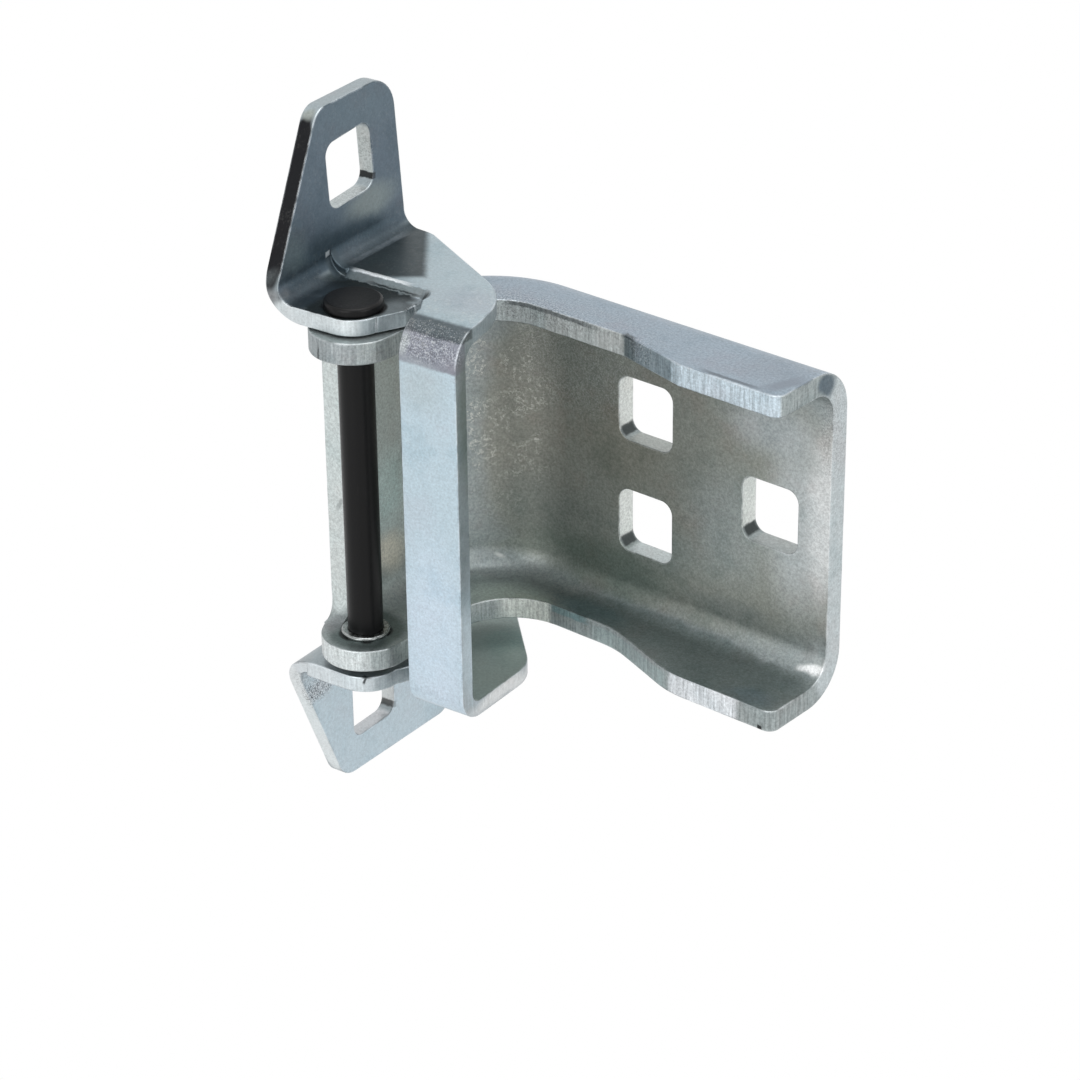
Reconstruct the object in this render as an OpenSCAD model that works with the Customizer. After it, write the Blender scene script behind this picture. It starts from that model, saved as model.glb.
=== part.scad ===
// Door hinge of a truck cab: a J-shaped channel leaf and a folded tab leaf
// swing about one upright pin, which turns in two flanged bushes.

/* [Hinge pin] */
// Diameter of the hinge pin
pin_d = 10; // [8:0.1:11]
// Diameter of the pin's head
head_d = 16.3; // [14:0.1:18]
// Height of the pin's head
head_h = 2.6; // [1.5:0.1:4]
// Diameter of the riveted lower end of the pin
rivet_d = 12.4; // [11.5:0.1:15]
// Height of the riveted lower end below the tab leaf
rivet_h = 1.6; // [1:0.1:3]

/* [Bushes] */
// Wall of a bush
bush_wall = 1; // [0.8:0.1:1.5]
// Width of the collar beyond the wall of a bush
collar_w = 0.85; // [0.5:0.05:2]
// Height of the collar above the ear
collar_h = 1.1; // [0.5:0.1:2]

/* [Channel leaf] */
// Plate thickness of the channel leaf
channel_plate = 6.4; // [5:0.1:7.5]
// Height of the channel over its two flanges
channel_h = 100; // [92:1:110]
// Inner radius of the bends between web and flanges
channel_bend = 7.4; // [4:0.1:8.5]
// Distance from the pin axis back to the outer face of the web
web_back = 65.1; // [62:0.1:72]
// Distance from the pin axis along the web to its far end
channel_reach = 115.8; // [112:0.1:125]
// Distance from the pin axis sideways to the outer face of the short leg
leg_side = 14.8; // [14:0.1:18]
// Distance from the pin axis back to the end of the short leg
leg_end = 2; // [0:0.1:4]
// Radius of the root where the end of the short leg runs out onto an ear
leg_root = 6; // [3:0.1:8]
// Outer radius of the corner between web and short leg
corner_r = 40; // [36:0.1:46]
// Radius of the ears round the pin, and half width of their tongues
ear_r = 12.5; // [11.5:0.1:14]
// Distance from the pin axis back to the flanges' straight front edge
flange_front = 34.5; // [31:0.1:37]
// Where the lower flange's straight front edge ends, along the web from the pin axis
lower_straight = 80; // [76:0.1:90]
// Where the lower flange reaches its recessed edge, along the web from the pin axis
lower_recessed = 54; // [48:0.1:62]
// Where the upper flange's straight front edge ends, along the web from the pin axis
upper_straight = 83; // [78:0.1:88]
// Where the upper flange reaches its recessed edge, along the web from the pin axis
upper_recessed = 60; // [52:0.1:66]
// Distance from the pin axis back to the recessed edge of the upper flange
upper_recess = 40.2; // [38:0.1:44]
// Distance from the pin axis back to the recessed edge of the lower flange
lower_recess = 44.2; // [41:0.1:47]
// Radius between the recessed edge and the tongue of the upper ear
upper_throat = 17; // [10:0.1:20]
// Radius between the recessed edge and the tongue of the lower ear
lower_throat = 19.6; // [10:0.1:22]
// Radii of the upper flange's edge where it leaves its recess and meets its straight front
upper_ease = 6; // [3:0.1:30]
// Radii of the lower flange's edge where it leaves its recess and meets its straight front
lower_ease = 30; // [10:0.1:40]
// Radius of the front corner at the far end of both flanges
flange_corner = 3; // [1:0.1:6]

/* [Bolt holes of the channel leaf] */
// Width of a square hole in the web
web_hole_w = 18.6; // [12:0.1:20]
// Height of a square hole in the web
web_hole_h = 19.2; // [12:0.1:20]
// Corner radius of the square holes
hole_corner = 3.7; // [2:0.1:5]
// Distance along the web from the pin axis to the pair of holes
near_holes = 53; // [48:0.1:56]
// Distance along the web from the pin axis to the single hole
far_hole = 95.9; // [90:0.1:99]
// Height from one hole of the pair to the other
hole_pitch = 34.6; // [28:0.1:40]

/* [Tab leaf] */
// Plate thickness of the tab leaf
tab_plate = 4.8; // [4:0.1:5.5]
// Turn of the tab leaf about the pin, as it lies at rest
rest_turn = 5.3; // [0:0.1:10]
// Inner radius of the tab leaf's bends
tab_bend = 5.2; // [4:0.1:6]
// Outer radius of the bends at the foot of the tabs, where the plate is drawn thinner
tab_outer = 12.8; // [10.5:0.1:14]
// Inner radius of the bend between the strap and the lower flange
strap_bend = 3.2; // [3:0.1:6]
// Gap between the upper ear and the tab leaf above it
upper_gap = 0.6; // [0.4:0.1:1.5]
// Gap between the lower ear and the tab leaf below it
lower_gap = 3; // [0.4:0.1:4]
// Height of the step between pin plates and flanges
joggle_h = 2.2; // [1:0.1:3]
// Distance from the pin axis back to the middle of the step
joggle_at = 14.8; // [13:0.1:17]
// Run of the step's slope
joggle_run = 2.6; // [2:0.1:4]
// Distance from the pin axis to the near edge of the strap
strap_near = 18.7; // [17.5:0.1:21]
// Width of the strap
strap_w = 18.6; // [14:0.1:22]
// Distance from the pin axis forward to the strap's front face
strap_front = 5.5; // [3:0.1:7]
// Distance from the pin axis forward to the front edge of the upper pin plate
upper_front = 9.3; // [8.5:0.1:12]
// Distance from the pin axis forward to the front edge of the lower pin plate
lower_front = 10.3; // [8.5:0.1:12]
// Distance from the pin axis to the free edge of the pin plates
plate_edge = 13.3; // [12:0.1:14.5]
// Radius of the pocket's corner, where the step turns from the back to the side of the pin plate
pocket_r = 1.8; // [1:0.1:3]
// Distance from the pin axis back to the end of the slot between pin plate and strap
slot_back = 9.3; // [8:0.1:10.5]
// Distance from the pin axis sideways to the tabs' outer faces
tab_side = 23.7; // [22:0.1:28]
// Distance back to the corner where the upper flange's edge turns
upper_turn = 23.5; // [21:0.1:27]
// Distance back to the corner where the lower flange's edge turns
lower_turn = 26.3; // [24:0.1:30]
// How far the upper flange draws in from the strap's far edge where it turns
upper_draw = 3.7; // [0:0.1:5]
// Distance from the pin axis back to the rear edge of the upper tab's foot
upper_back = 48.5; // [44:0.1:52]
// Distance from the pin axis back to the rear edge of the lower tab
lower_back = 66; // [58:0.1:70]
// Height of the upper tab above the upper flange
upper_tab_h = 46.2; // [42:0.1:56]
// Depth of the lower tab below the lower flange
lower_tab_h = 45.2; // [42:0.1:56]
// Distance from the pin axis back to the front corner of the upper tab's top
upper_top_front = 11.4; // [6:0.1:16]
// Distance from the pin axis back to the front corner of the lower tab's tip
lower_tip_front = 11.4; // [5:0.1:16]
// Width of the upper tab at its top
upper_top_w = 33.2; // [30:0.1:37]

/* [Bolt holes of the tab leaf] */
// Width and height of a square hole in a tab
tab_hole = 19.4; // [12:0.1:21]
// Distance from the pin axis back to the upper tab's hole
upper_hole_y = 24.7; // [22:0.1:28]
// Distance from the pin axis back to the lower tab's hole
lower_hole_y = 26.5; // [24:0.1:30]
// Height of the upper tab's hole above the upper flange
upper_hole_rise = 25.6; // [23:0.1:28]
// Depth of the lower tab's hole below the lower flange
lower_hole_drop = 24; // [23:0.1:27]
// Lean of the upper tab's hole towards the front
upper_hole_lean = 4.7; // [0:0.1:8]

/* [Fits] */
// Radial clearance between the pin and the bushes
running_fit = 0.05; // [0.02:0.01:0.09]
// Radial gap of the seated fits: bushes in ears, pin in tab leaf
seat_fit = 0.06; // [0.05:0.01:0.1]

/* [Hidden] */
$fn = 72;
// Margin by which cutters pass the faces they cut
over = 1;
// Reach of a lap, tie or cut across a seam of the sheet, and a tie's depth under the faces
tie_reach = 0.1;
tie_depth = 0.5;
// Outline of the upper tab: rise of its foot, tilt of its top and the corner radii
upper_foot_rise = 7;
upper_foot_ease = 12;
upper_tilt = 0.2;
upper_front_ease = 6;
upper_back_ease = 10.5;
// Outline of the lower tab: rise of its foot, tilt and draw of its tip and the corner radii
lower_foot_rise = 1;
lower_tilt = 0.8;
lower_back_draw = 2;
lower_front_ease = 8;
lower_back_ease = 6;
// Free edges of the tab leaf's flanges: shoulder, its step from the back, and the corner radii
upper_shoulder = 9;
upper_shoulder_ease = 10;
upper_turn_ease = 28;
lower_shoulder = 2;
lower_shoulder_ease = 12;
lower_turn_ease = 14;
shoulder_back = 0.5;
// Outline of the pin plate's free corner: set back, along and across, and rounded
plate_draw = 4;
plate_ear = 2;
plate_square = 5.5;
plate_ease = 2.5;
// Clearance cut round the bushes' collars
collar_gap = 0.3;
// Chamfer of the bushes' collars, and of the pin's lower end with its head's edge radius
collar_chamfer = 0.4;
pin_edge = 1;

zinc = [0.70, 0.75, 0.79];
zinc_dark = [0.60, 0.66, 0.69];
black_pin = [0.10, 0.10, 0.11];
bright_bush = [0.55, 0.56, 0.56];

pin_r = pin_d / 2;
bore_r = pin_r + running_fit;
bush_r = bore_r + bush_wall;
collar_r = bush_r + collar_w;
channel_top = channel_h / 2;
channel_inner = channel_top - channel_plate;
channel_round = channel_bend + channel_plate;
corner_x = corner_r - leg_side;
corner_y = web_back - corner_r;
pattern_x = (near_holes + far_hole) / 2;

tab_round = tab_bend + tab_plate;
pocket_x = plate_edge - pocket_r;
pocket_y = joggle_at - joggle_run / 2 - pocket_r;
ridge_r = pocket_r + joggle_run;
strap_far = strap_near + strap_w;
upper_plate_z = channel_top + upper_gap;
lower_plate_z = channel_top + lower_gap;
upper_flange_z = upper_plate_z + joggle_h;
lower_flange_z = lower_plate_z + joggle_h;
tab_foot = tab_side - tab_round;
strap_round = strap_bend + tab_plate;

// Share of a side, from its end to the next corner, that a rounded corner may take
function side_share(next_r) = next_r > 0 ? 0.49 : 0.98;

// Points that round the corner [x, y, radius] between the corners before and after it
function corner_points(before, corner, after, steps = 10) =
    let (b = [corner.x, corner.y])
    let (a = [before.x, before.y] - b)
    let (c = [after.x, after.y] - b)
    let (u = a / norm(a))
    let (v = c / norm(c))
    let (half = acos(u * v) / 2)
    let (limit = min(norm(a) * side_share(before.z), norm(c) * side_share(after.z)))
    let (reach = min(corner.z / tan(half), limit))
    let (radius = reach * tan(half))
    let (middle = b + (u + v) / norm(u + v) * radius / sin(half))
    let (start = b + u * reach - middle)
    let (side = cross(u, v) > 0 ? -1 : 1)
    corner.z <= 0 ? [b] : [
        for (i = [0 : steps])
            let (turn = side * i / steps * (180 - 2 * half))
            middle + [
                start.x * cos(turn) - start.y * sin(turn),
                start.x * sin(turn) + start.y * cos(turn)
            ]
    ];

// Outline through corners given as [x, y, radius]
function rounded(corners) = [
    for (i = [0 : len(corners) - 1])
        let (before = corners[(i + len(corners) - 1) % len(corners)])
        let (after = corners[(i + 1) % len(corners)])
        each corner_points(before, corners[i], after)
];

// Square hole with round corners, cut upwards from the plane of drawing
module square_hole(w, h, depth) {
    linear_extrude(depth) {
        square([w - 2 * hole_corner, h], center = true);
        square([w, h - 2 * hole_corner], center = true);
        for (x = [-1, 1], y = [-1, 1])
            translate([x * (w / 2 - hole_corner), y * (h / 2 - hole_corner)]) circle(hole_corner);
    }
}

// Quarter of a ring, from the direction of +X to that of +Y
module quarter_ring(inner, outer) {
    intersection() {
        difference() {
            circle(outer);
            circle(inner);
        }
        square(outer);
    }
}

// Section of the channel: x is the distance in from the outer face
module channel_section() {
    translate([0, channel_round - channel_top]) square([channel_plate, channel_h - 2 * channel_round]);
    for (s = [0, 1]) mirror([0, s]) {
        translate([channel_round, channel_top - channel_round])
            mirror([1, 0]) quarter_ring(channel_bend, channel_round);
        translate([channel_round, channel_top - channel_plate])
            square([corner_r - channel_round, channel_plate]);
    }
}

// The channel bent to a J in plan, with flanges that reach in to the corner's centre
module channel_sweep() {
    translate([corner_x, corner_y, 0]) {
        translate([0, corner_r, 0])
            rotate([90, 0, 90]) mirror([1, 0, 0])
                linear_extrude(channel_reach - corner_x) channel_section();
        rotate([0, 0, 90]) rotate_extrude(angle = 90)
            translate([corner_r, 0]) mirror([1, 0]) channel_section();
        translate([-corner_r, 0, 0])
            rotate([90, 0, 0]) linear_extrude(corner_y - leg_end + leg_root) channel_section();
    }
}

// What the plan of one flange keeps: front edge, recess and throat
module flange_plan(straight, recessed, recess, throat, ease) {
    polygon(rounded([
        [channel_reach, web_back + over, 0],
        [channel_reach, flange_front, flange_corner],
        [straight, flange_front, ease],
        [recessed, recess, ease],
        [ear_r, recess, throat],
        [ear_r, leg_end, 0],
        [-leg_side - over, leg_end, 0],
        [-leg_side - over, web_back + over, 0]
    ]));
}

// One ear in plan, round the pin and back to the end of the short leg
module ear_plan() {
    circle(ear_r);
    translate([-ear_r, 0]) square([2 * ear_r, leg_end]);
}

// What is kept of the channel in front of the short leg's end, a hollow root on one ear
module root_block() {
    translate([-leg_side - over, leg_end, -channel_top]) rotate([90, 0, 90])
        linear_extrude(channel_round + over) difference() {
            translate([-leg_root, 0]) square([leg_root, channel_plate + leg_root]);
            translate([-leg_root, channel_plate + leg_root]) circle(leg_root);
        }
}

module channel_leaf() {
    color(zinc_dark) translate([-pattern_x, -web_back, 0]) difference() {
        union() {
            intersection() {
                channel_sweep();
                union() {
                    linear_extrude(channel_top + over)
                        flange_plan(upper_straight, upper_recessed, upper_recess, upper_throat, upper_ease);
                    mirror([0, 0, 1])
                        linear_extrude(channel_top + over)
                            flange_plan(lower_straight, lower_recessed, lower_recess, lower_throat, lower_ease);
                }
            }
            intersection() {
                channel_sweep();
                for (s = [0, 1]) mirror([0, 0, s]) root_block();
            }
            for (s = [0, 1]) mirror([0, 0, s])
                translate([0, 0, channel_inner]) linear_extrude(channel_plate) ear_plan();
        }
        translate([0, 0, -channel_inner]) cylinder(r = collar_r + collar_gap, h = 2 * channel_inner);
        translate([0, 0, -channel_top - over]) cylinder(r = bush_r + seat_fit, h = channel_h + 2 * over);
        for (hole = [[near_holes, hole_pitch / 2], [near_holes, -hole_pitch / 2], [far_hole, 0]])
            translate([hole.x, web_back + over, hole.y])
                rotate([90, 0, 0]) square_hole(web_hole_w, web_hole_h, channel_plate + 2 * over);
    }
}

// Plan of a pin plate, back to the step and its corner
module pin_plate_plan(front) {
    circle(front);
    translate([pocket_x, pocket_y]) circle(pocket_r);
    polygon(rounded([
        [-tab_foot, -front, 0],
        [0, -front, 0],
        [plate_edge - plate_draw, -plate_ear, plate_ease],
        [plate_edge, plate_square, plate_ease],
        [plate_edge, pocket_y, 0],
        [pocket_x, pocket_y, 0],
        [pocket_x, pocket_y + pocket_r, 0],
        [-tab_foot, pocket_y + pocket_r, 0]
    ]));
}

// Slope of the step in section, out from the centre of the pocket's corner, with a lap at each end
module joggle_section() {
    polygon([
        [pocket_r - tie_reach, 0],
        [pocket_r, 0],
        [ridge_r, joggle_h],
        [ridge_r + tie_reach, joggle_h],
        [ridge_r + tie_reach, joggle_h + tab_plate],
        [ridge_r, joggle_h + tab_plate],
        [pocket_r, tab_plate],
        [pocket_r - tie_reach, tab_plate]
    ]);
}

// The step: straight from the tab, round the pocket's corner and on to the relief slot
module joggle() {
    translate([-tab_foot, pocket_y, 0])
        rotate([90, 0, 90]) linear_extrude(tab_foot + pocket_x) joggle_section();
    translate([pocket_x, pocket_y, 0]) rotate_extrude(angle = 90) joggle_section();
    translate([pocket_x, pocket_y, 0])
        rotate([90, 0, 0]) linear_extrude(pocket_y - slot_back) joggle_section();
}

// Plan of a flange behind the step: its free edge passes the given turn and shoulder
module tab_flange_plan(bend_front, turn, shoulder, back) {
    difference() {
        polygon(rounded([
            [strap_near, bend_front, 0],
            [strap_far, bend_front, 0],
            turn,
            shoulder,
            [-tab_foot, back, 0],
            [-tab_foot, pocket_y + ridge_r, 0],
            [pocket_x, pocket_y + ridge_r, 0],
            [pocket_x, slot_back, 0],
            [pocket_x + ridge_r, slot_back, 0]
        ]));
        translate([pocket_x, pocket_y]) circle(ridge_r);
        translate([pocket_x - over, slot_back - over])
            square([ridge_r + over, pocket_y - slot_back + over]);
    }
}

// Wall and bend of a tab at one level of its foot; x runs sideways, y up
module tab_section(level, top) {
    translate([-tab_foot, level + tab_round]) rotate(180) quarter_ring(tab_bend, tab_round);
    translate([-tab_side, level + tab_round]) square([tab_plate, top - level - tab_round]);
}

// What the larger outer radius takes off a tab's bend at one level of its foot
module bend_relief(level) {
    difference() {
        translate([-tab_side - over, level - over]) square(tab_outer + over);
        translate([tab_outer - tab_side, level + tab_outer]) circle(tab_outer);
    }
}

// Wall and bend of a whole tab, before its outline is cut
module tab_wall(front, back, level, top) {
    translate([0, joggle_at, 0])
        rotate([90, 0, 0]) linear_extrude(joggle_at + front) tab_section(level, top);
    translate([0, back, 0])
        rotate([90, 0, 0]) linear_extrude(back - joggle_at) tab_section(level + joggle_h, top);
}

// Side view of a tab's outline, extruded over the tab: x of the list runs back, y up
module tab_outline(corners) {
    translate([-tab_side - over, 0, 0])
        rotate([90, 0, 90]) linear_extrude(tab_round + over) polygon(rounded(corners));
}

// Block inside the sheet that crosses a seam, so that the pieces on its two sides overlap there
module tie(from, to, level) {
    translate([from[0], from[1], level + tie_depth])
        cube([to[0] - from[0], to[1] - from[1], tab_plate - 2 * tie_depth]);
}

// Half of the tab leaf above or below the hinge: pin plate, step, flange and tab
module tab_half(front, level, bend_front, turn, shoulder, back, top, corners, hole_y, hole_z, lean) {
    difference() {
        union() {
            translate([0, 0, level]) linear_extrude(tab_plate) pin_plate_plan(front);
            translate([0, 0, level]) joggle();
            translate([0, 0, level + joggle_h])
                linear_extrude(tab_plate) tab_flange_plan(bend_front, turn, shoulder, back);
            tie([-tab_foot - tie_reach, tab_plate - front], [tie_reach - tab_foot, pocket_y], level);
            tie(
                [-tab_foot - tie_reach, pocket_y + ridge_r + tie_reach],
                [tie_reach - tab_foot, back - tie_depth], level + joggle_h
            );
            tie(
                [strap_near + tie_depth, bend_front - tie_reach],
                [strap_far - tie_depth, bend_front + tie_reach], level + joggle_h
            );
            intersection() {
                tab_wall(front, back, level, top + over);
                tab_outline(corners);
            }
        }
        translate([0, joggle_at + tie_reach, 0])
            rotate([90, 0, 0]) linear_extrude(joggle_at + tie_reach + front + over) bend_relief(level);
        translate([0, back + over, 0])
            rotate([90, 0, 0]) linear_extrude(back + over - joggle_at) bend_relief(level + joggle_h);
        translate([-tab_side - over, hole_y, hole_z])
            rotate([lean, 0, 0]) rotate([90, 0, 90]) square_hole(tab_hole, tab_hole, tab_plate + 2 * over);
    }
}

// The strap that joins the two halves, with its bends
module strap() {
    top = upper_flange_z + tab_plate;
    bottom = -lower_flange_z - tab_plate;
    translate([strap_near, -strap_front, 0]) rotate([90, 0, 90]) linear_extrude(strap_w) {
        translate([0, bottom + strap_round]) square([tab_plate, top - bottom - strap_round - tab_round]);
        translate([tab_round, top - tab_round]) mirror([1, 0]) quarter_ring(tab_bend, tab_round);
        translate([strap_round, bottom + strap_round]) rotate(180) quarter_ring(strap_bend, strap_round);
    }
}

module tab_leaf() {
    upper_top = upper_flange_z + tab_plate + upper_tab_h;
    lower_tip = lower_flange_z + tab_plate + lower_tab_h;
    upper_corners = [
        [-upper_front, upper_plate_z, 0],
        [-upper_front, upper_plate_z + upper_foot_rise, upper_foot_ease],
        [upper_top_front, upper_top - upper_tilt, upper_front_ease],
        [upper_top_front + upper_top_w, upper_top + upper_tilt, upper_back_ease],
        [upper_back, upper_flange_z + tab_round, 0],
        [upper_back, upper_plate_z, 0]
    ];
    lower_corners = [
        [-lower_front, lower_plate_z, 0],
        [-lower_front, lower_plate_z + lower_foot_rise, 0],
        [lower_tip_front, lower_tip - lower_tilt, lower_front_ease],
        [lower_back - lower_back_draw, lower_tip + lower_tilt, lower_back_ease],
        [lower_back, lower_flange_z + tab_round, 0],
        [lower_back, lower_plate_z, 0]
    ];
    color(zinc) translate([-pattern_x, -web_back, 0]) rotate([0, 0, rest_turn]) difference() {
        union() {
            strap();
            tab_half(
                upper_front, upper_plate_z, tab_round - strap_front,
                [strap_far - upper_draw, upper_turn, upper_turn_ease],
                [-upper_shoulder, upper_back - shoulder_back, upper_shoulder_ease],
                upper_back, upper_top, upper_corners,
                upper_hole_y, upper_flange_z + tab_plate + upper_hole_rise, upper_hole_lean
            );
            mirror([0, 0, 1]) tab_half(
                lower_front, lower_plate_z, strap_round - strap_front,
                [strap_far, lower_turn, lower_turn_ease],
                [lower_shoulder, lower_back - shoulder_back, lower_shoulder_ease],
                lower_back, lower_tip, lower_corners,
                lower_hole_y, lower_flange_z + tab_plate + lower_hole_drop, 0
            );
        }
        translate([0, 0, -lower_plate_z - tab_plate - over])
            cylinder(r = pin_r + seat_fit, h = lower_plate_z + upper_plate_z + 2 * (tab_plate + over));
    }
}

module hinge_pin() {
    bottom = -lower_plate_z - tab_plate;
    seat = upper_plate_z + tab_plate;
    head_r = head_d / 2;
    rivet_r = rivet_d / 2;
    color(black_pin) translate([-pattern_x, -web_back, 0]) rotate_extrude() polygon(concat(
        [[0, bottom - rivet_h], [rivet_r - pin_edge, bottom - rivet_h], [rivet_r, bottom - rivet_h + pin_edge]],
        [[rivet_r, bottom], [pin_r, bottom], [pin_r, seat], [head_r, seat]],
        [for (a = [0 : 15 : 90])
            [head_r - pin_edge + pin_edge * cos(a), seat + head_h - pin_edge + pin_edge * sin(a)]],
        [[0, seat + head_h]]
    ));
}

// A bush seated in an ear, its collar on the inner side of the ear
module flanged_bush() {
    color(bright_bush) translate([-pattern_x, -web_back, 0]) rotate_extrude() polygon([
        [bore_r, channel_inner - collar_h],
        [collar_r - collar_chamfer, channel_inner - collar_h],
        [collar_r, channel_inner - collar_h + collar_chamfer],
        [collar_r, channel_inner],
        [bush_r, channel_inner],
        [bush_r, channel_top],
        [bore_r, channel_top]
    ]);
}

module upper_bush() {
    flanged_bush();
}

module lower_bush() {
    mirror([0, 0, 1]) flanged_bush();
}

channel_leaf();
tab_leaf();
hinge_pin();
upper_bush();
lower_bush();
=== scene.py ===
# Truck door hinge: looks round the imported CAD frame
import math
from collections import namedtuple

import bmesh
import bpy
from mathutils import Matrix, Vector, kdtree
from mathutils.bvhtree import BVHTree


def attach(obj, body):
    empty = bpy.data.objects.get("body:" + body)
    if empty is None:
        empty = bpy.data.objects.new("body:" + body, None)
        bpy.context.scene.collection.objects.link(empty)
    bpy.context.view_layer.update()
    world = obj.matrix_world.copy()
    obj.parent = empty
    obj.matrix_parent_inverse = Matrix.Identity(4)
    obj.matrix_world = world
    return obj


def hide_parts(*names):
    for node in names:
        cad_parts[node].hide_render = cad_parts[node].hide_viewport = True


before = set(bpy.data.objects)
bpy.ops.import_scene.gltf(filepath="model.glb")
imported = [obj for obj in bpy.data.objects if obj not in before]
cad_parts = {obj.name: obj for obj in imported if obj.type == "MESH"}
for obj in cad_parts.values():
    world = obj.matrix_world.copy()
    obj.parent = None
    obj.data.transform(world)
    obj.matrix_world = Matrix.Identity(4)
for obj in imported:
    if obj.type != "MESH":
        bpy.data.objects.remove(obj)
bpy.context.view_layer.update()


# Middle of a CAD node's box
def middle(node):
    corners = [Vector(corner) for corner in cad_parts[node].bound_box]
    return sum(corners, Vector()) / len(corners)


# Pin axis in metres, and the turn at which the tab leaf stands round it at rest
PIN = middle("hinge_pin")
PIN_AXIS = (PIN.x, PIN.y, 0.0)
TAB_TURN = math.radians(5.3)
MILLIMETRE = 0.001

# Ways that a face can look
UP = (0, 0, 1)
FRONT = (0, -1, 0)
RIGHT = (1, 0, 0)

# Widths of the broken edges, in metres
LEAF_BREAK = 0.00035
PIN_BREAK = 0.0003
BUSH_BREAK = 0.00015

# What makes an edge sharp, flat, short or none and two points one, in radians and metres
SHARP_ANGLE = math.radians(28)
FLAT_ANGLE = math.radians(0.6)
SHORT_EDGE = 0.0025
NO_EDGE = 2e-6
SAME_PLACE = 1e-6
SAME_VERTEX = 1e-7

# Metres between the points that stand for an edge
EDGE_STEP = 0.0002

# How far a new corner may stand out or stray, and how near its fault lies, in widths
STANDS_OUT = 0.5
STRAYS = 2.5
FAULT_WITHIN = 3

# Camera of the photo's view: place in metres, lens and sensor in millimetres
CAMERA_PLACE = (0.52212, -0.69181, 0.43918)
CAMERA_AZIMUTH = math.radians(40.341)
CAMERA_ELEVATION = math.radians(27.772)
CAMERA_ROLL = math.radians(-0.68)
LENS = 117.8
SENSOR = 36

# Noise of the zinc, in cells per millimetre
DRIFT_NOISE = 0.09
FRAY_NOISE = 0.5
CLOUD_NOISE = 0.06
CRYSTAL_NOISE = 1.3
BLOT_NOISE = 0.5
COMB_NOISE = (1.6, 1.6, 0.12)
SPECK_NOISE = 2.1
SCRATCH_NOISE = 0.42
SCRATCH_CLUMP_NOISE = 0.14
SCRATCH_DASH_NOISE = 0.9
EDGE_LINE_NOISE = 0.35
EDGE_TONE_NOISE = 0.11

# Noise of the pin and of the bushes, in cells per millimetre
PIN_SCRATCH_NOISE = (3.0, 3.0, 0.08)
PIN_DUST_NOISE = 1.8
BUSH_RING_NOISE = (0.4, 0.4, 6.0)
BUSH_SPOT_NOISE = 1.2

# Swing in mm of the noise that bends round patches, frays box patches and late marks, and curls scratches
WANDER = 5.0
FRAY = 0.9
CURL = 9.0

# Colours from 0 to 255 that both leaves share
WARM_CLOUD = (186, 172, 170)
COOL_CLOUD = (86, 112, 116)
DARK_SPECK = (58, 60, 66)
PALE_SPECK = (214, 218, 220)
SCRATCH_TONE = (222, 222, 214)
DULL_EDGE = (58, 64, 65)

# Metal of the zinc, and the radius in metres of its edge lines of wear and painted highlight
ZINC_METAL = 0.75
EDGE_LINE_RADIUS = 0.0007

# Striated cut faces, in mm from the pin axis: the tab's plates, the flanges and the web
TAB_PLATE_HIGH = 54.5
FLANGE_FOOT = 42.8
WEB_FRONT = 56.0

# Floor in metres, and the studio's colours and light
FLOOR_Z = -0.22
FLOOR_SIZE = 12
FLOOR_GREY = (0.82, 0.83, 0.84, 1)
WHITE = (1, 1, 1, 1)
STUDIO_TINT = (0.965, 0.985, 1, 1)
STUDIO_LIGHT = 0.8

# Where the colour of a patch with a facing starts and is full, as the cosine to that way
FACING_STARTS = 0.55
FACING_FULL = 0.85

# Patch of colour in mm and degrees: it fades from the core's share of its radii outward
Patch = namedtuple(
    "Patch", "centre radii tone strength facing turn core box",
    defaults=(None, (0, 0, 0), 0.25, False)
)


# Colour from the usual 0 to 255 values
def rgb(r, g, b):
    def linear(value):
        value /= 255
        return value / 12.92 if value <= 0.04045 else ((value + 0.055) / 1.055) ** 2.4

    return (linear(r), linear(g), linear(b), 1.0)


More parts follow.
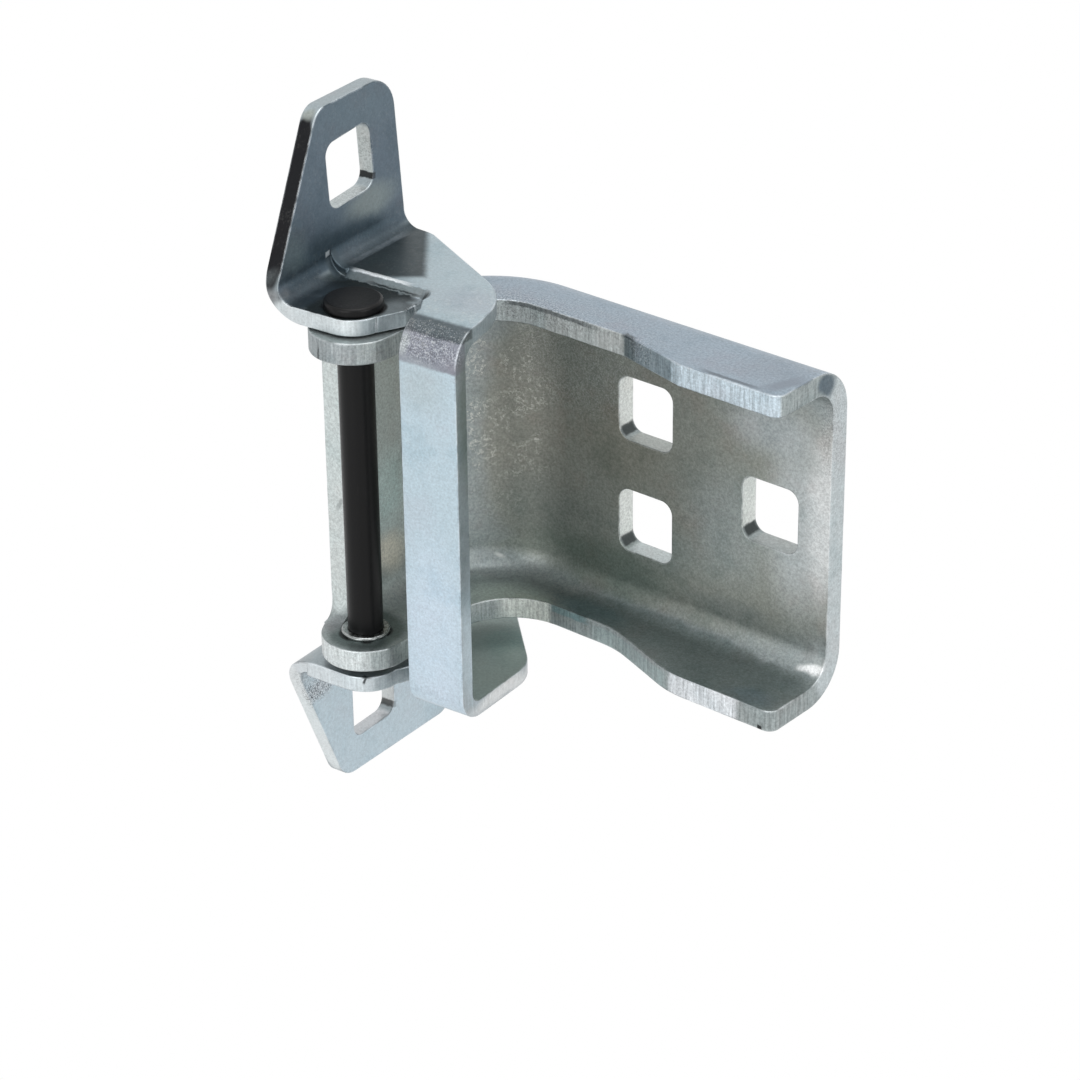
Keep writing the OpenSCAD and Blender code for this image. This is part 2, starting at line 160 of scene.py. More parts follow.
# Small builder of shader nodes
class Shader:
    def __init__(self, name):
        self.mat = bpy.data.materials.new(name)
        self.mat.use_nodes = True
        self.tree = self.mat.node_tree
        self.tree.nodes.clear()

    def node(self, kind, **settings):
        made = self.tree.nodes.new(kind)
        for name, value in settings.items():
            setattr(made, name, value)
        return made

    def put(self, socket, value):
        if isinstance(value, bpy.types.NodeSocket):
            self.tree.links.new(value, socket)
        else:
            socket.default_value = value

    def math(self, kind, first, second=0.0):
        made = self.node("ShaderNodeMath", operation=kind)
        self.put(made.inputs[0], first)
        self.put(made.inputs[1], second)
        return made.outputs[0]

    def vmath(self, kind, first, second=(0, 0, 0)):
        made = self.node("ShaderNodeVectorMath", operation=kind)
        self.put(made.inputs[0], first)
        self.put(made.inputs[1], second)
        return made.outputs["Value" if kind in ("DOT_PRODUCT", "LENGTH") else "Vector"]

    def scaled(self, where, factor):
        made = self.node("ShaderNodeVectorMath", operation="SCALE")
        self.put(made.inputs[0], where)
        made.inputs["Scale"].default_value = factor
        return made.outputs["Vector"]

    def parts(self, where):
        made = self.node("ShaderNodeSeparateXYZ")
        self.put(made.inputs[0], where)
        return made.outputs

    # A value as a vector with three equal parts
    def even(self, value):
        made = self.node("ShaderNodeCombineXYZ")
        for socket in made.inputs:
            self.put(socket, value)
        return made.outputs["Vector"]

    # Longest part of a vector, for box shaped patches
    def longest(self, where):
        x, y, z = self.parts(self.vmath("ABSOLUTE", where))
        return self.math("MAXIMUM", self.math("MAXIMUM", x, y), z)

    def ramp(self, value, start, end, low=0.0, high=1.0, smooth=True):
        kind = "SMOOTHSTEP" if smooth else "LINEAR"
        made = self.node("ShaderNodeMapRange", interpolation_type=kind)
        self.put(made.inputs["Value"], value)
        made.inputs["From Min"].default_value = start
        made.inputs["From Max"].default_value = end
        made.inputs["To Min"].default_value = low
        made.inputs["To Max"].default_value = high
        return made.outputs["Result"]

    def mix(self, factor, first, second, blend="MIX"):
        made = self.node("ShaderNodeMix", data_type="RGBA", blend_type=blend)
        self.put(made.inputs["Factor"], factor)
        self.put(made.inputs[6], first)
        self.put(made.inputs[7], second)
        return made.outputs[2]

    def noise(self, where, scale, detail=3.0, rough=0.55, colour=False):
        made = self.node("ShaderNodeTexNoise")
        self.put(made.inputs["Vector"], where)
        made.inputs["Scale"].default_value = scale
        made.inputs["Detail"].default_value = detail
        made.inputs["Roughness"].default_value = rough
        return made.outputs["Color" if colour else "Fac"]

    # Noise as a vector that swings round zero
    def swing(self, where, scale, detail):
        tint = self.noise(where, scale, detail, colour=True)
        return self.vmath("SUBTRACT", tint, (0.5, 0.5, 0.5))

    # A place as seen from a centre, with its turn and scale
    def local(self, centre, turn, scale, where):
        made = self.node("ShaderNodeMapping", vector_type="TEXTURE")
        self.put(made.inputs["Vector"], where)
        made.inputs["Location"].default_value = centre
        made.inputs["Rotation"].default_value = turn
        made.inputs["Scale"].default_value = scale
        return made.outputs["Vector"]

    # The finished material
    def surface(self, colour, rough, metal, height, strength, distance, specular=0.5):
        bump = self.node("ShaderNodeBump")
        bump.inputs["Strength"].default_value = strength
        bump.inputs["Distance"].default_value = distance
        self.put(bump.inputs["Height"], height)
        shader = self.node("ShaderNodeBsdfPrincipled")
        self.put(shader.inputs["Base Color"], colour)
        self.put(shader.inputs["Roughness"], rough)
        shader.inputs["Metallic"].default_value = metal
        shader.inputs["Specular IOR Level"].default_value = specular
        self.put(shader.inputs["Normal"], bump.outputs["Normal"])
        out = self.node("ShaderNodeOutputMaterial")
        self.put(out.inputs["Surface"], shader.outputs["BSDF"])
        return self.mat


# Coordinates in millimetres from the pin axis, square to the leaf
def leaf_space(shader, turn):
    coord = shader.node("ShaderNodeTexCoord")
    place = shader.local(PIN_AXIS, (0, 0, turn), (MILLIMETRE,) * 3, coord.outputs["Object"])
    normal = shader.local((0, 0, 0), (0, 0, turn), (1, 1, 1), coord.outputs["Normal"])
    return place, normal


# Coordinates in millimetres for a turned piece
def turned_space(shader):
    coord = shader.node("ShaderNodeTexCoord")
    return shader.scaled(coord.outputs["Object"], 1 / MILLIMETRE)


# One patch laid over a colour, and only on what looks its way where it has one
def patched(shader, colour, place, normal, patch):
    turn = [math.radians(angle) for angle in patch.turn]
    where = shader.local(patch.centre, turn, patch.radii, place)
    away = shader.longest(where) if patch.box else shader.vmath("LENGTH", where)
    mask = shader.ramp(away, patch.core, 1.0, patch.strength, 0.0)
    if patch.facing:
        toward = shader.vmath("DOT_PRODUCT", normal, patch.facing)
        mask = shader.math("MULTIPLY", mask, shader.ramp(toward, FACING_STARTS, FACING_FULL))
    return shader.mix(mask, colour, rgb(*patch.tone))


# Broad cloudy mottle, warm and cool
def clouded(shader, colour, place):
    cloud = shader.noise(place, CLOUD_NOISE, 4.0, 0.65)
    colour = shader.mix(shader.ramp(cloud, 0.5, 0.7, 0.0, 0.5), colour, rgb(*WARM_CLOUD), "SOFT_LIGHT")
    return shader.mix(shader.ramp(cloud, 0.5, 0.3, 0.0, 0.3), colour, rgb(*COOL_CLOUD), "SOFT_LIGHT")


# Dark and pale specks where the zinc is coarse
def specked(shader, colour, place, zones):
    speck = shader.noise(place, SPECK_NOISE, 2.0, 0.7)
    for centre, radii, strength in zones:
        away = shader.vmath("LENGTH", shader.local(centre, (0, 0, 0), radii, place))
        inside = shader.ramp(away, 1.0, 0.5, 0.0, strength)
        dark = shader.math("MULTIPLY", inside, shader.ramp(speck, 0.5, 0.4))
        pale = shader.math("MULTIPLY", inside, shader.ramp(speck, 0.54, 0.64))
        colour = shader.mix(dark, colour, rgb(*DARK_SPECK))
        colour = shader.mix(pale, colour, rgb(*PALE_SPECK))
    return colour


# Pale hairline scratches, thickest in one zone: its centre, radii and strength
def scratched(shader, colour, place, drift, zone):
    centre, radii, strength = zone
    veil = shader.noise(shader.vmath("ADD", place, shader.scaled(drift, CURL)), SCRATCH_NOISE, 5.0, 0.75)
    line = shader.ramp(shader.math("ABSOLUTE", shader.math("SUBTRACT", veil, 0.5)), 0.026, 0.006)
    clump = shader.ramp(shader.noise(place, SCRATCH_CLUMP_NOISE, 3.0), 0.44, 0.56)
    dash = shader.ramp(shader.noise(place, SCRATCH_DASH_NOISE, 1.0), 0.44, 0.57)
    away = shader.vmath("LENGTH", shader.local(centre, (0, 0, 0), radii, place))
    for mask in (clump, dash, shader.ramp(away, 0.5, 1.0, strength, 0.05)):
        line = shader.math("MULTIPLY", line, mask)
    return shader.mix(line, colour, rgb(*SCRATCH_TONE))


# Line of another tone along the sharp edges: partly wear, partly painted highlight, dull dark in places and
# bright in others
def edge_wear_and_highlight(shader, colour, place, edge_tone):
    bevel = shader.node("ShaderNodeBevel", samples=4)
    bevel.inputs["Radius"].default_value = EDGE_LINE_RADIUS
    true_normal = shader.node("ShaderNodeNewGeometry").outputs["Normal"]
    bend = shader.vmath("DOT_PRODUCT", bevel.outputs["Normal"], true_normal)
    patchy_edge = shader.ramp(shader.noise(place, EDGE_LINE_NOISE, 2.0), 0.3, 0.6, 0.35, 1.0)
    edge = shader.math("MULTIPLY", shader.ramp(bend, 0.995, 0.9, 0.0, 0.75), patchy_edge)
    bright = shader.ramp(shader.noise(place, EDGE_TONE_NOISE, 2.0), 0.42, 0.54)
    return shader.mix(edge, colour, shader.mix(bright, rgb(*DULL_EDGE), rgb(*edge_tone)))


# Strength of the upright striations on cut faces
def striated(shader, place, normal, streak):
    level = shader.math("ABSOLUTE", shader.vmath("DOT_PRODUCT", normal, UP))
    upright = shader.ramp(shader.math("SUBTRACT", 1.0, level), 0.6, 0.9)
    return shader.math("MULTIPLY", upright, streak(shader, place))


# Colour shaded by the crystals, the blots and the striations
def grained(shader, colour, fine, blot, comb, cut, grain):
    crystals = shader.math("MULTIPLY", shader.ramp(fine, 0.35, 0.65, -1.0, 1.0, False), grain)
    blots = shader.ramp(blot, 0.3, 0.7, -grain * 0.3, grain * 0.3, False)
    stripes = shader.math("MULTIPLY", shader.ramp(comb, 0.3, 0.7, -1.0, 1.0, False), cut)
    shade = shader.math("ADD", shader.math("ADD", crystals, blots), stripes)
    return shader.vmath("MULTIPLY", colour, shader.even(shader.math("ADD", 1.0, shade)))


# Zinc plated steel plate with patches of painted reflection and shade, grain, and edge lines of wear and
# painted highlight
def zinc(name, turn, base, reflections_and_shade, late, coarse, grain, streak, edge_tone, scratch_zone):
    shader = Shader(name)
    place, normal = leaf_space(shader, turn)
    drift = shader.swing(place, DRIFT_NOISE, 2.0)
    loose = shader.vmath("ADD", place, shader.scaled(drift, WANDER))
    tight = shader.vmath("ADD", place, shader.scaled(shader.swing(place, FRAY_NOISE, 3.0), FRAY))
    fine = shader.noise(place, CRYSTAL_NOISE, 3.0, 0.85)
    blot = shader.noise(place, BLOT_NOISE, 4.0, 0.7)
    comb = shader.noise(shader.vmath("MULTIPLY", place, COMB_NOISE), 1.0, 3.0, 0.6)
    cut = striated(shader, place, normal, streak)
    colour = rgb(*base)
    for patch in reflections_and_shade:
        colour = patched(shader, colour, tight if patch.box else loose, normal, patch)
    colour = clouded(shader, colour, place)
    colour = grained(shader, colour, fine, blot, comb, cut, grain)
    colour = specked(shader, colour, place, coarse)
    colour = scratched(shader, colour, place, drift, scratch_zone)
    colour = edge_wear_and_highlight(shader, colour, place, edge_tone)
    for patch in late:
        colour = patched(shader, colour, tight, normal, patch)
    rough = shader.ramp(blot, 0.3, 0.7, 0.34, 0.46, False)
    rough = shader.math("ADD", rough, shader.ramp(cut, 0.0, 0.3, 0.0, 0.12))
    height = shader.math("ADD", shader.math("MULTIPLY", fine, 0.6), shader.math("MULTIPLY", blot, 0.8))
    height = shader.math("ADD", height, shader.math("MULTIPLY", comb, shader.math("MULTIPLY", cut, 4.0)))
    return shader.surface(colour, rough, ZINC_METAL, height, strength=0.12, distance=0.0002)


# Patches of the tab leaf: painted reflections and shade that make the one zinc pale, bluish or dark by
# place
TAB_REFLECTIONS_AND_SHADE = [
    # tab faces seen from the right, in painted reflections, with darker painted reflection bands above the
    # bend and painted shade by the pin plate
    Patch((-18.9, 18, 80), (4, 60, 60), (90, 104, 115), 1.0, RIGHT, core=0.6),
    Patch((-18.9, 30, 100), (5, 30, 14), (96, 112, 121), 0.6, RIGHT),
    Patch((-18.9, 33, 70), (5, 17, 7), (122, 133, 133), 0.8, RIGHT),
    Patch((-18.9, 26, 62.5), (6, 34, 6.0), (64, 80, 90), 0.9),
    Patch((-18.9, 12, 63), (6, 14, 7.0), (60, 76, 86), 0.7),
    Patch((-18.9, -2, 66), (6, 9, 12), (100, 114, 117), 0.6, RIGHT),
    Patch((-18, 2, 59), (7, 14, 4), (52, 66, 76), 0.8),
    # lower tab, a pale bluish painted reflection
    Patch((-18.9, 28, -84), (4, 60, 34), (182, 197, 205), 1.0, RIGHT, core=0.7),
    Patch((-18.9, 0, -70), (5, 11, 4.5), (186, 194, 200), 0.75, RIGHT),
    # upper flange and its bend, with the dark reflection of the tab
    Patch((10, 28, 57.6), (60, 50, 8), (163, 177, 183), 1.0, UP, core=0.7),
    Patch((-23.5, 30.5, 57.6), (22, 26, 3.2), (38, 50, 54), 0.95, UP, turn=(0, 0, 35), core=0.88, box=True),
    Patch((-14.8, 31, 58.2), (1.2, 16, 1.0), (112, 121, 128), 0.7, core=0.4, box=True),
    Patch((-16.8, 31, 60), (2.2, 22, 2.6), (70, 81, 89), 0.8, core=0.5, box=True),
    Patch((26, 16, 57.6), (14, 12, 3), (158, 167, 175), 0.7, UP),
    # upper pin plate with the shade round the head
    Patch((-1, 2, 55.4), (18, 19, 1.6), (34, 42, 44), 1.0, UP, core=0.8),
    Patch((9.5, 3, 55.4), (7, 12, 1.5), (124, 133, 136), 0.8, UP),
    Patch((0, 0, 55.4), (9.4, 9.4, 1.2), (6, 8, 8), 1.0, UP, core=0.88),
    Patch((-14.5, -1, 56.2), (5.5, 13, 2.6), (54, 66, 74), 0.95, core=0.5, box=True),
    # slope of the step with a painted highlight along its ridge and a dark line of painted shade below it
    Patch((-1, 14.8, 56.5), (15.5, 1.5, 1.0), (122, 132, 134), 0.9, core=0.8, box=True),
    Patch((-3, 16.3, 57.4), (12, 0.8, 0.7), (232, 236, 238), 1.0, core=0.5, box=True),
    Patch((3, 14.0, 56.1), (11, 0.5, 0.5), (34, 40, 42), 0.9, core=0.4, box=True),
    Patch((14.2, 13.5, 56.6), (1.8, 2.8, 1.2), (150, 156, 156), 0.8, core=0.5, box=True),
    # front band of the pin plate
    Patch((0, -9, 53), (34, 8, 5), (199, 206, 208), 1.0, FRONT, core=0.7),
    Patch((0, -9, -56), (34, 8, 5), (206, 213, 216), 1.0, FRONT, core=0.7),
    # strap, a pale bluish painted reflection, darker on its bend into the pin plate
    Patch((28, -5.5, 0), (16, 8, 90), (184, 201, 210), 1.0, FRONT, core=0.8),
    Patch((28, -3.9, 50.7), (14, 3.2, 4.6), (138, 140, 150), 0.95, core=0.8, box=True),
    Patch((28, -1.0, 56), (14, 4.0, 1.9), (62, 68, 72), 0.85, core=0.6, box=True),
    Patch((19.6, -4.5, 51), (2.6, 5, 5), (176, 182, 184), 0.9, FRONT),
    Patch((28, -5.5, -36), (16, 8, 44), (196, 211, 223), 0.9, FRONT),
    Patch((25, -5.5, 40), (12, 6, 11), (176, 189, 194), 0.7, FRONT),
    # thickness of the strap, painted darker at the top and paler below
    Patch((37.3, 0, 30), (4, 8, 34), (112, 124, 120), 0.9, RIGHT),
    Patch((37.3, 0, -35), (4, 8, 34), (172, 186, 193), 0.9, RIGHT),
    # lower flange
    Patch((20, 25, -55.2), (40, 40, 3), (158, 172, 168), 1.0, UP, core=0.8),
    Patch((24, 34, -55.2), (12, 10, 3), (132, 156, 152), 0.8, UP),
    Patch((20, 12, -55.2), (20, 14, 3), (170, 180, 174), 0.6, UP),
    Patch((37.3, 15, -57.6), (5, 26, 4), (211, 213, 213), 0.9, RIGHT),
    # left ends of the tabs: the upper one a dark painted reflection, the lower one a pale one
    Patch((-21, 0, 80), (5, 24, 27), (23, 24, 27), 1.0, (0, -0.91, 0.41), core=0.85),
    Patch((-21.5, 10.5, 101.4), (3, 2.4, 2.2), (150, 156, 152), 0.9),
    Patch((-21, 0, -80), (5, 22, 30), (214, 220, 221), 1.0, (0, -0.92, -0.4), core=0.8),
    Patch((-21, -8, 56.5), (5, 5, 3.4), (130, 134, 136), 0.9),
    Patch((-21, -8.5, 62), (5, 4, 3.4), (84, 90, 92), 0.8),
    # walls of the tab holes, painted pale as where light falls on them
    Patch((-21.3, 34.5, 84), (3.4, 1.4, 8.6), (186, 192, 190), 0.9, FRONT, core=0.8, box=True),
    Patch((-21.3, 24.7, 73.4), (3.4, 8.5, 1.6), (186, 193, 193), 0.9, UP, core=0.8, box=True),
    Patch((-21.3, 36.2, -84), (3.4, 1.4, 8.6), (206, 210, 210), 0.9, FRONT, core=0.8, box=True),
    Patch((-21.3, 26.5, -93.7), (3.4, 8.5, 1.6), (202, 205, 208), 0.9, UP, core=0.8, box=True),
]

# Zones of coarse zinc on the tab leaf: centre, radii and strength
TAB_COARSE = [
    ((28, -3.9, 51.2), (15, 4, 5.0), 0.5),
    ((28, -1.5, 55.5), (14, 4, 2.6), 0.25),
    ((-18.9, 1, -69), (3, 10, 5), 0.8),
    ((-18.9, -4, -72), (3, 4, 7), 0.5),
    ((-18.9, -6, -63), (4, 7, 5), 0.4),
    ((-21.3, 34.5, 84), (3.4, 2, 9), 0.35),
    ((-21.3, 26, 73.6), (3.4, 8, 1.6), 0.35),
    ((14, 9, 55), (3, 6, 3), 0.35),
]

# Marks and painted shade that lie over the edge lines of the tab leaf
TAB_LATE = [
    # painted shade in the corners of the tab holes
    Patch((-21.3, 34.2, 76.8), (3.2, 2.0, 1.1), (14, 16, 17), 0.95, core=0.6, box=True),
    Patch((-21.3, 35.4, -91.4), (3.2, 2.0, 1.2), (40, 42, 42), 0.85, core=0.5, box=True),
    # the step beside the tab's bend, in the tone of the painted reflection round it, with a pale spot at
    # its corner
    Patch((-16.2, 14.6, 58.6), (4.6, 3.0, 3.8), (68, 80, 87), 1.0, core=0.5, box=True),
    Patch((-18.4, 13.4, 61.4), (1.2, 1.1, 1.0), (206, 214, 218), 0.8, core=0.5, box=True),
    # a dark line of painted shade in the crease
    Patch((-17.9, 7, 60.6), (1.2, 5.5, 0.32), (34, 42, 48), 0.85, turn=(8, 0, 0), core=0.4, box=True),
    Patch((13.6, 11.6, 56.5), (0.9, 4.0, 1.2), (46, 52, 54), 0.8, core=0.5, box=True),
    Patch((5.6, -8.6, -54.2), (0.45, 1.2, 1.6), (34, 38, 40), 0.9, turn=(0, 16, 0), core=0.3, box=True),
    Patch((5.9, -8.5, -53.1), (1.6, 1.4, 0.5), (40, 44, 46), 0.8, core=0.3, box=True),
]

# Patches of the channel leaf: painted reflections and shade, which make the web darker than the flanges and
# the short leg
CHANNEL_REFLECTIONS_AND_SHADE = [
    # inner face of the web, in painted shade and reflections that pale towards its right end
    Patch((55, 58.7, 0), (95, 14, 48), (142, 146, 139), 1.0, FRONT, core=0.8),
    Patch((12, 56, 0), (26, 16, 44), (152, 152, 143), 0.8),
    Patch((18, 56, -25), (26, 16, 22), (141, 146, 140), 0.7),
    Patch((40, 58.7, -34), (34, 14, 12), (107, 121, 113), 0.75),
    Patch((45, 58.7, 6), (24, 10, 20), (133, 132, 120), 0.6, FRONT),
    Patch((60, 58.7, -22), (24, 10, 10), (134, 144, 141), 0.6, FRONT),
    Patch((82, 58.7, -8), (20, 10, 24), (150, 158, 157), 0.7, FRONT),
    Patch((96, 58.7, 26), (22, 10, 12), (184, 190, 194), 0.6, FRONT),
    Patch((106, 58.7, 0), (16, 10, 38), (180, 186, 187), 0.9, FRONT),
    Patch((114, 58.7, 5), (7, 10, 36), (216, 218, 218), 0.8, FRONT),
    Patch((84, 58.7, -34), (20, 12, 6), (134, 140, 136), 0.8),
    # painted highlight on the web's lower bend at its right end
    Patch((112.5, 56.5, -41.2), (6.5, 3.0, 1.6), (252, 254, 254), 0.9, turn=(0, -8, 0)),
    Patch((113, 56, -36), (5, 5, 5), (190, 198, 198), 0.7),
    Patch((14, 56.5, -36), (22, 14, 4), (154, 159, 152), 0.6),
    # short leg
    Patch((-8.4, 18, 0), (6, 26, 46), (194, 202, 199), 0.9, RIGHT, core=0.6),
    Patch((-8.4, 20, -10), (6, 10, 18), (212, 230, 228), 0.7, RIGHT),
    Patch((-8.4, 20, -30), (6, 10, 9), (238, 230, 214), 0.7, RIGHT),
    Patch((-11, 2, 0), (8, 6, 48), (200, 208, 207), 1.0, FRONT, core=0.8),
    # upper flange, with painted shade in the small notch of its front edge
    Patch((60, 40, 50), (80, 40, 12), (144, 157, 168), 1.0, UP, core=0.8),
    Patch((104, 48, 50), (14, 12, 6), (138, 148, 158), 0.7, UP),
    Patch((97, 36, 47), (20, 7, 6), (187, 200, 208), 1.0, (0.2, -0.98, 0), core=0.9, box=True),
    Patch((71, 37, 47), (9.5, 5, 6), (146, 159, 166), 1.0, FRONT, core=0.9, box=True),
    Patch((62.5, 39.5, 47), (3.0, 4, 6), (100, 112, 116), 0.9, FRONT, core=0.5, box=True),
    Patch((46, 40, 47), (15, 6, 6), (186, 192, 191), 1.0, FRONT, core=0.9, box=True),
    Patch((24, 39, 47), (10, 8, 6), (190, 200, 200), 0.9, FRONT, core=0.8, box=True),
    Patch((62, 40, 50), (3.0, 1.6, 0.8), (60, 70, 74), 0.8, turn=(0, 0, -14), core=0.4, box=True),
    # lower flange
    Patch((70, 44, -43.6), (60, 22, 3), (122, 132, 131), 1.0, UP, core=0.7),
    Patch((42, 48, -43.6), (18, 7, 3), (108, 127, 130), 0.75, UP),
    Patch((20, 38, -43.6), (22, 14, 3), (202, 214, 203), 0.7, UP),
    Patch((106, 38, -43.6), (11, 7, 3), (106, 122, 128), 0.7, UP),
    Patch((92, 34.5, -47), (13, 4, 6), (210, 214, 217), 1.0, FRONT, core=0.8, box=True),
    Patch((62, 40, -48), (18, 8, 3.4), (150, 164, 164), 0.9, FRONT, core=0.8, box=True),
    Patch((37, 43, -44.6), (8, 5, 1.5), (128, 152, 154), 0.9, FRONT, core=0.6, box=True),
    Patch((16, 40, -47), (15, 10, 6), (232, 236, 230), 0.9, FRONT, core=0.9, box=True),
    # ears: the lower ear's top darkened by painted shade, with a painted black shadow round the pin; the
    # upper ear's front band darker than the lower's
    Patch((0, 0, -43.6), (13, 14, 3), (84, 96, 94), 0.9, UP, core=0.7),
    Patch((-9, -3, -43.6), (5, 8, 3), (130, 134, 136), 0.7, UP),
    Patch((0, 0, -43.6), (8.2, 8.2, 1.2), (14, 16, 16), 0.9, UP, core=0.88),
    Patch((0, -12, -47), (20, 12, 6), (209, 214, 214), 0.9, FRONT, core=0.8),
    Patch((0, -12, 47), (20, 12, 6), (150, 156, 158), 0.9, FRONT, core=0.8),
    # web end, with painted shade under the upper flange
    Patch((115.8, 60, 0), (3, 12, 52), (186, 194, 196), 0.9, RIGHT, core=0.9),
    Patch((115.8, 55.4, 46.2), (2, 6.4, 4.2), (84, 98, 107), 0.95, RIGHT, turn=(-12, 0, 0), core=0.5),
    # left and lower walls of the bolt holes, painted pale as where light falls on them
    Patch((43.8, 62, 18), (1.6, 3.4, 8.4), (218, 222, 218), 0.95, RIGHT, core=0.85, box=True),
    Patch((43.8, 62, -16.5), (1.6, 3.4, 8.4), (218, 222, 218), 0.95, RIGHT, core=0.85, box=True),
    Patch((86.7, 62, 1), (1.6, 3.4, 8.4), (218, 222, 218), 0.95, RIGHT, core=0.85, box=True),
    Patch((54, 62, 7.8), (8, 3.4, 1.6), (170, 174, 170), 0.9, UP, core=0.85, box=True),
    Patch((54, 62, -26.8), (8, 3.4, 1.6), (190, 198, 198), 0.9, UP, core=0.85, box=True),
    Patch((97, 62, -9.5), (8, 3.4, 1.6), (168, 173, 172), 0.9, UP, core=0.85, box=True),
]

# Zones of coarse zinc on the channel leaf: centre, radii and strength
CHANNEL_COARSE = [
    ((28, 36, 48), (34, 12, 5), 0.4),
    ((67, 37, 47), (8, 5, 5), 0.35),
    ((30, 58.7, 28), (30, 8, 24), 0.2),
    ((115, 60, 30), (4, 9, 20), 0.25),
    ((45, 40, 50), (40, 14, 2), 0.2),
]

# Marks, painted shade and a painted highlight that lie over the edge lines of the channel leaf
CHANNEL_LATE = [
    # painted shade in the lower left corners of the bolt holes
    Patch((44.8, 62, 9.6), (1.7, 3.3, 1.9), (52, 58, 58), 0.9, turn=(0, -40, 0), core=0.6, box=True),
    Patch((44.8, 62, -25.0), (1.7, 3.3, 1.9), (52, 58, 58), 0.9, turn=(0, -40, 0), core=0.6, box=True),
    Patch((87.7, 62, -7.7), (1.7, 3.3, 1.9), (44, 50, 50), 0.9, turn=(0, -40, 0), core=0.6, box=True),
    Patch((111.6, 34.6, -49.4), (1.0, 1.5, 0.9), (24, 26, 26), 0.95, core=0.5, box=True),
    # painted shade along the right part of the upper flange's front edge and at its end
    Patch((99, 35.7, 50), (12, 0.9, 0.5), (98, 106, 114), 0.85, core=0.4, box=True),
    Patch((112, 42, 50), (3.2, 9, 0.8), (120, 128, 138), 0.7, turn=(0, 0, -22), core=0.3, box=True),
    Patch((30, 40.5, 49.2), (26, 3.2, 0.8), (84, 90, 92), 0.7, (0, -0.96, 0.2), core=0.5, box=True),
    # painted highlight on the web's lower bend at its left
    Patch((5.0, 53.5, -39.2), (2.6, 4, 1.0), (236, 238, 234), 0.8, turn=(0, 20, 0), core=0.2),
    Patch((-2.0, -12.3, 44.6), (0.35, 1.2, 3.4), (52, 56, 58), 0.8, turn=(0, 6, 0), core=0.4, box=True),
    Patch((-10, 2, -8), (0.9, 1.5, 3.0), (120, 126, 126), 0.5, turn=(0, 30, 0), core=0.3, box=True),
]


# Where the tab leaf's cut faces are striated: the edges of its level plates
def tab_streak(shader, place):
    high = shader.math("ABSOLUTE", shader.parts(place)["Z"])
    away = shader.math("ABSOLUTE", shader.math("SUBTRACT", high, TAB_PLATE_HIGH))
    return shader.ramp(away, 4.0, 2.6, 0.0, 0.12)


# Where the channel leaf's cut faces are striated: the edges of its flanges
def channel_streak(shader, place):
    parts = shader.parts(place)
    high = shader.math("ABSOLUTE", parts["Z"])
    flange = shader.ramp(high, FLANGE_FOOT, FLANGE_FOOT + 1.0, 0.0, 0.26)
    return shader.math("MULTIPLY", flange, shader.ramp(parts["Y"], WEB_FRONT, WEB_FRONT - 6.0))


# Black satin pin with faint scratches along it
def black_pin():
    shader = Shader("black_pin_satin")
    place = turned_space(shader)
    scratch = shader.noise(shader.vmath("MULTIPLY", place, PIN_SCRATCH_NOISE), 1.0, 3.0, 0.7)
    dust = shader.noise(place, PIN_DUST_NOISE, 3.0, 0.6)
    colour = shader.mix(shader.ramp(scratch, 0.62, 0.8, 0.0, 0.25), rgb(8, 8, 9), rgb(62, 58, 58))
    colour = shader.mix(shader.ramp(dust, 0.6, 0.8, 0.0, 0.2), colour, rgb(30, 29, 30))
    rough = shader.ramp(dust, 0.3, 0.7, 0.3, 0.42)
    height = shader.math("ADD", scratch, dust)
    return shader.surface(colour, rough, 0.0, height, strength=0.1, distance=0.0002, specular=0.2)


# Turned steel of the bushes
def bush_steel():
    shader = Shader("bush_steel_turned")
    place = turned_space(shader)
    rings = shader.noise(shader.vmath("MULTIPLY", place, BUSH_RING_NOISE), 1.0, 2.0)
    spotty = shader.noise(place, BUSH_SPOT_NOISE, 3.0)
    colour = shader.mix(shader.ramp(rings, 0.3, 0.7), rgb(118, 121, 120), rgb(176, 180, 180))
    colour = shader.mix(shader.ramp(spotty, 0.55, 0.75, 0.0, 0.3), colour, rgb(62, 66, 66))
    rough = shader.ramp(rings, 0.3, 0.7, 0.22, 0.34)
    return shader.surface(colour, rough, 1.0, rings, strength=0.1, distance=0.0001)


# Search tree of points
def point_tree(points):
    tree = kdtree.KDTree(len(points))
    for i, point in enumerate(points):
        tree.insert(point, i)
    tree.balance()
    return tree


# Points at even steps along edges
def along(edges):
    points = []
    for edge in edges:
        start, end = (vert.co.copy() for vert in edge.verts)
        steps = max(1, int((end - start).length / EDGE_STEP))
        points += [start.lerp(end, i / steps) for i in range(steps + 1)]
    return points


# A CAD mesh with its flat faces merged
def merged(mesh):
    work = bmesh.new()
    work.from_mesh(mesh)
    bmesh.ops.remove_doubles(work, verts=work.verts, dist=SAME_PLACE)
    bmesh.ops.dissolve_limit(
        work, angle_limit=FLAT_ANGLE, verts=work.verts, edges=work.edges
    )
    work.edges.index_update()
    work.verts.index_update()
    return work


# Numbers of the short ones among some edges, by the vertices that they end in
def short_by_vertex(edges):
    short = {}
    for edge in edges:
        if edge.calc_length() < SHORT_EDGE:
            for vert in edge.verts:
                short.setdefault(vert.index, set()).add(edge.index)
    return short


